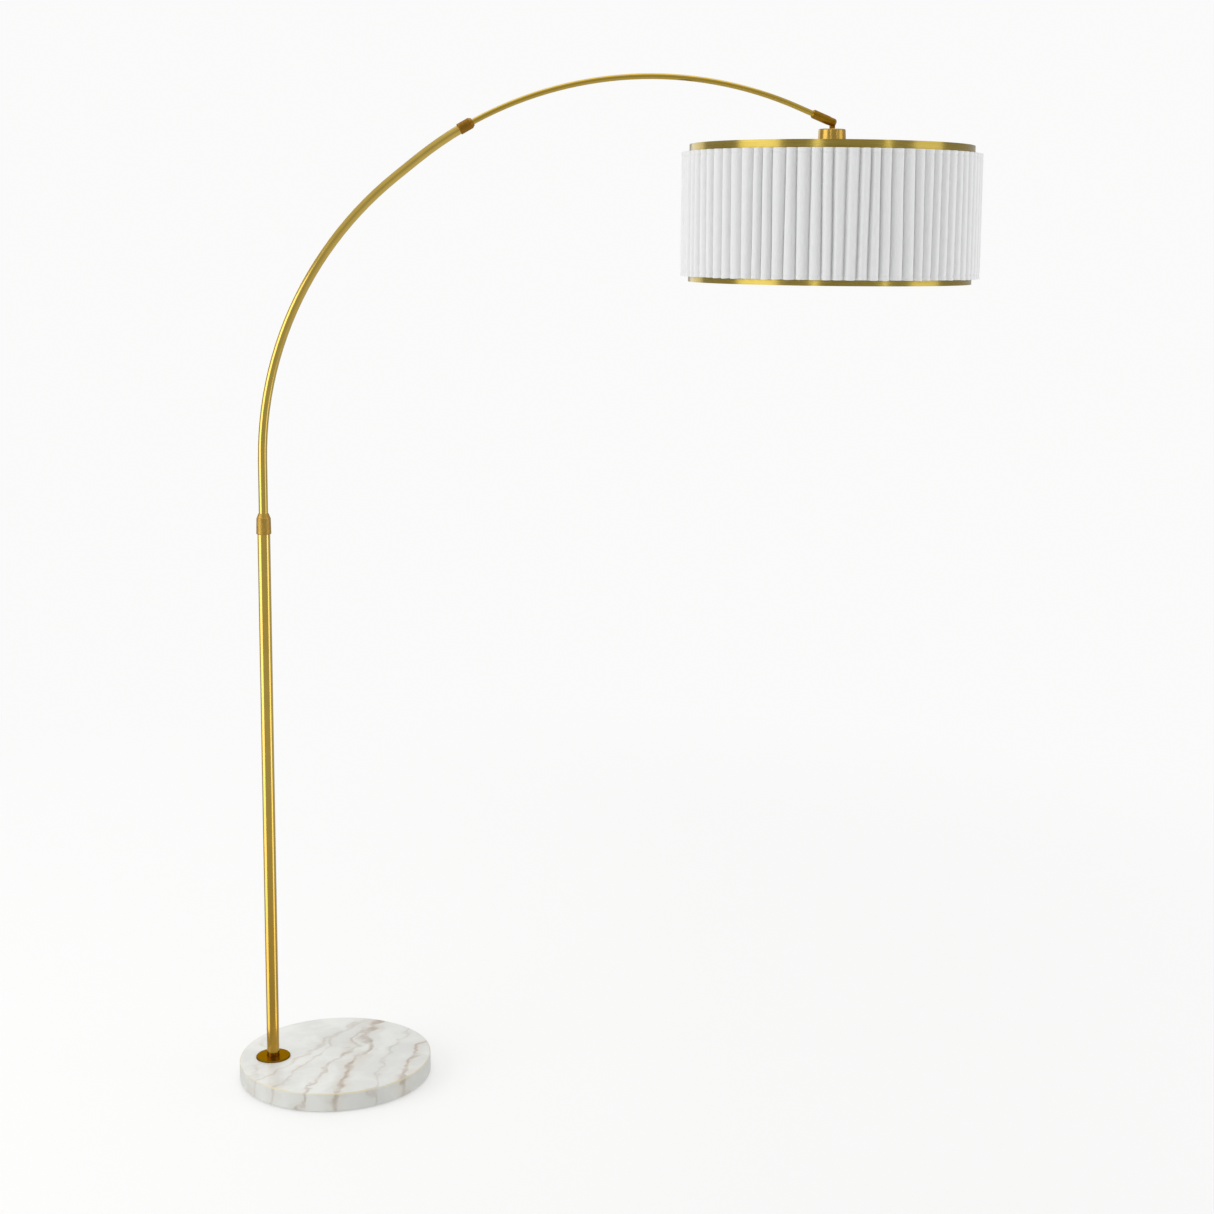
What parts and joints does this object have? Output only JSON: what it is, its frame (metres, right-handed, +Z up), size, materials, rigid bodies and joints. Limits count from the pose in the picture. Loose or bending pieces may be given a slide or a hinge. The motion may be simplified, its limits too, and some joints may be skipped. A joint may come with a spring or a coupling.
{
  "type": "arc floor lamp",
  "caption": "Arc floor lamp: round marble base, off-centre brass post, two telescoping arc tubes with lock nuts, tilting knuckle and pleated drum shade between brass rings.",
  "frame": {"origin": "centre of the round base where its felt pad meets the floor", "axes": "+Z up; +X the way the arm reaches from the post; +Y to the back, where the cord inlet is"},
  "size_m": [1.3194, 0.5298, 1.793],
  "materials": {
    "marble": "polished",
    "felt": "matte",
    "satin_brass": "satin",
    "foot_brass": "satin",
    "nut_brass": "satin",
    "head_brass": "satin",
    "cup_brass": "satin",
    "ring_brass": "satin",
    "collet_brass": "satin",
    "contact_brass": "polished",
    "zinc_steel": "satin",
    "white_wire": "gloss",
    "nylon": "matte",
    "lead_cover": "satin",
    "porcelain": "gloss",
    "black_plastic": "satin",
    "liner_white": "matte",
    "pleated_fabric": "matte",
    "opal_glass": "satin",
    "bulb_metal": "satin"
  },
  "bodies": {
    "stand": {"base_pad": "felt", "marble_base": "marble", "threaded_nipple": "zinc_steel", "base_nut": "zinc_steel", "base_spring_washer": "zinc_steel", "base_washer": "zinc_steel", "foot_plug": "collet_brass", "escutcheon": "foot_brass", "cord_gland": "nylon", "terminal_block": "nylon", "terminal_screws": "contact_brass", "lead_stand": "lead_cover", "post_tube": "satin_brass", "post_collet": "collet_brass"},
    "post_nut": {"post_lock_nut": "nut_brass"},
    "swivel_sleeve": {"guide_sleeve": "nylon"},
    "lower_arc": {"lower_arc_tube": "satin_brass", "stop_collar": "collet_brass", "rod_collet": "collet_brass", "lead_arc": "lead_cover"},
    "arc_nut": {"arc_lock_nut": "nut_brass"},
    "upper_arc": {"upper_arc_rod": "satin_brass", "rod_end_plug": "nylon", "ferrule": "head_brass", "ferrule_grub_screw": "zinc_steel", "pivot_screws": "head_brass", "lead_rod": "lead_cover"},
    "shade": {"swivel_tongue": "head_brass", "neck_nut": "zinc_steel", "socket_cup": "cup_brass", "lampholder_body": "porcelain", "screw_shell": "contact_brass", "centre_contact": "contact_brass", "shade_ring": "black_plastic", "shade_spider": "white_wire", "upper_hoop": "white_wire", "lower_hoop": "white_wire", "shade_liner": "liner_white", "top_ring": "ring_brass", "bottom_ring": "ring_brass", "pleated_shade": "pleated_fabric", "bulb_cap": "bulb_metal", "bulb_contact": "bulb_metal", "bulb_glass": "opal_glass", "lead_head": "lead_cover"}
  },
  "joints": [
    {"name": "post_nut_turn", "type": "hinge", "parent": "stand", "child": "post_nut", "pos_m": [-0.112, 0, 1.011], "axis": [0, 0, 1], "range_deg": [0, 270]},
    {"name": "arm_swivel", "type": "hinge", "parent": "stand", "child": "swivel_sleeve", "pos_m": [-0.112, 0, 0.91], "axis": [0, 0, 1], "range_deg": [-180, 180]},
    {"name": "height_slide", "type": "slide", "parent": "swivel_sleeve", "child": "lower_arc", "axis": [0, 0, 1], "range_m": [-0.085, 0.115], "deforming": ["lead_stand"]},
    {"name": "arc_nut_turn", "type": "hinge", "parent": "lower_arc", "child": "arc_nut", "pos_m": [0.24191, 0, 1.69877], "axis": [0.8647, 0, 0.5023], "range_deg": [0, 270]},
    {"name": "arc_extend", "type": "hinge", "parent": "lower_arc", "child": "upper_arc", "pos_m": [0.57341, 0, 1.12806], "axis": [0, 1, 0], "range_deg": [-5.5, 2], "deforming": ["lead_arc"]},
    {"name": "shade_tilt", "type": "hinge", "parent": "upper_arc", "child": "shade", "pos_m": [0.883, 0, 1.71481], "axis": [0, 1, 0], "range_deg": [-60, 15], "deforming": ["lead_head"]}
  ]
}
